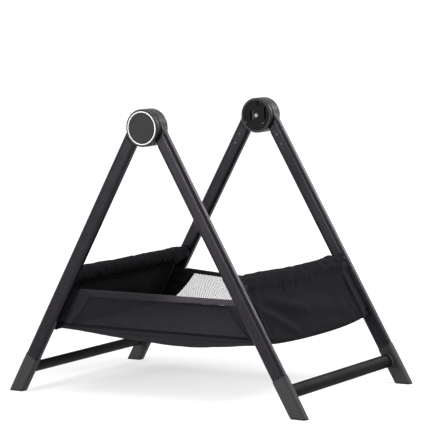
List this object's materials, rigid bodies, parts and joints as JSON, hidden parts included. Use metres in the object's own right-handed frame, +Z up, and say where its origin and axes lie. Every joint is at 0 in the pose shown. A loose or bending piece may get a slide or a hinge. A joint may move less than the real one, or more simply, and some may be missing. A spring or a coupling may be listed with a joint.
{
  "type": "carrycot stand",
  "caption": "Folding A-frame stand that holds a carrycot between two round hubs with push buttons, with cross rails and a hanging cloth storage basket.",
  "frame": {"origin": "on the floor at the middle of the open stand, halfway between the two hubs", "axes": "+X along the open stand from the left feet to the right feet, +Y across it from the front hub to the back hub, +Z up"},
  "size_m": [0.7478, 0.494, 0.6191],
  "materials": {
    "frame_metal": "satin anthracite coating",
    "hub_plastic": "fine moulded grain",
    "foot_plastic": "matt moulded",
    "button_plastic": "matt moulded",
    "ring_plastic": "smooth white",
    "foot_rubber": "matt black",
    "bright_steel": "zinc plated",
    "nylon": "natural nylon",
    "basket_cloth": "woven polyester",
    "basket_mesh": "open knitted mesh with cloth hem"
  },
  "bodies": {
    "left_frame": {"back_adapter_socket": "hub_plastic", "back_adapter_socket_screw_1": "bright_steel", "back_adapter_socket_screw_2": "bright_steel", "basket_back_side": "basket_mesh", "basket_floor": "basket_cloth", "basket_front_side": "basket_mesh", "basket_left_end": "basket_cloth", "front_button_spring": "bright_steel", "front_hub_washer": "nylon", "front_pivot_pin": "bright_steel", "front_trim_ring": "ring_plastic", "left_back_basket_stud": "hub_plastic", "left_back_foot": "foot_plastic", "left_back_foot_pad": "foot_rubber", "left_back_knuckle": "hub_plastic", "left_back_leg": "frame_metal", "left_back_rail_bracket": "hub_plastic", "left_back_rivet_1": "bright_steel", "left_back_rivet_2": "bright_steel", "left_front_basket_stud": "hub_plastic", "left_front_foot": "foot_plastic", "left_front_foot_pad": "foot_rubber", "left_front_knuckle": "hub_plastic", "left_front_leg": "frame_metal", "left_front_rail_bracket": "hub_plastic", "left_front_rivet_1": "bright_steel", "left_front_rivet_2": "bright_steel", "left_lower_rail": "frame_metal", "left_upper_rail": "frame_metal"},
    "right_frame": {"back_button_spring": "bright_steel", "back_hub_washer": "nylon", "back_pivot_pin": "bright_steel", "back_stop_pin": "bright_steel", "back_trim_ring": "ring_plastic", "basket_right_end": "basket_cloth", "front_adapter_socket": "hub_plastic", "front_adapter_socket_screw_1": "bright_steel", "front_adapter_socket_screw_2": "bright_steel", "front_stop_pin": "bright_steel", "right_back_basket_stud": "hub_plastic", "right_back_foot": "foot_plastic", "right_back_foot_pad": "foot_rubber", "right_back_knuckle": "hub_plastic", "right_back_leg": "frame_metal", "right_back_rail_bracket": "hub_plastic", "right_back_rivet_1": "bright_steel", "right_back_rivet_2": "bright_steel", "right_front_basket_stud": "hub_plastic", "right_front_foot": "foot_plastic", "right_front_foot_pad": "foot_rubber", "right_front_knuckle": "hub_plastic", "right_front_leg": "frame_metal", "right_front_rail_bracket": "hub_plastic", "right_front_rivet_1": "bright_steel", "right_front_rivet_2": "bright_steel", "right_lower_rail": "frame_metal", "right_upper_rail": "frame_metal"},
    "back_button": {"back_release_button": "button_plastic"},
    "front_button": {"front_release_button": "button_plastic"}
  },
  "joints": [
    {"name": "fold", "type": "hinge", "parent": "left_frame", "child": "right_frame", "pos_m": [0, 0, 0.58], "axis": [0, 1, 0], "range_deg": [0, 59], "deforming": ["basket_floor", "basket_front_side", "basket_back_side"]},
    {"name": "front_button_press", "type": "slide", "parent": "left_frame", "child": "front_button", "axis": [0, 1, 0], "range_m": [0, 0.003], "stiffness_N_per_m": 1500, "springref_m": -0.002, "deforming": ["front_button_spring"]},
    {"name": "back_button_press", "type": "slide", "parent": "right_frame", "child": "back_button", "axis": [0, -1, 0], "range_m": [0, 0.003], "stiffness_N_per_m": 1500, "springref_m": -0.002, "deforming": ["back_button_spring"]}
  ]
}
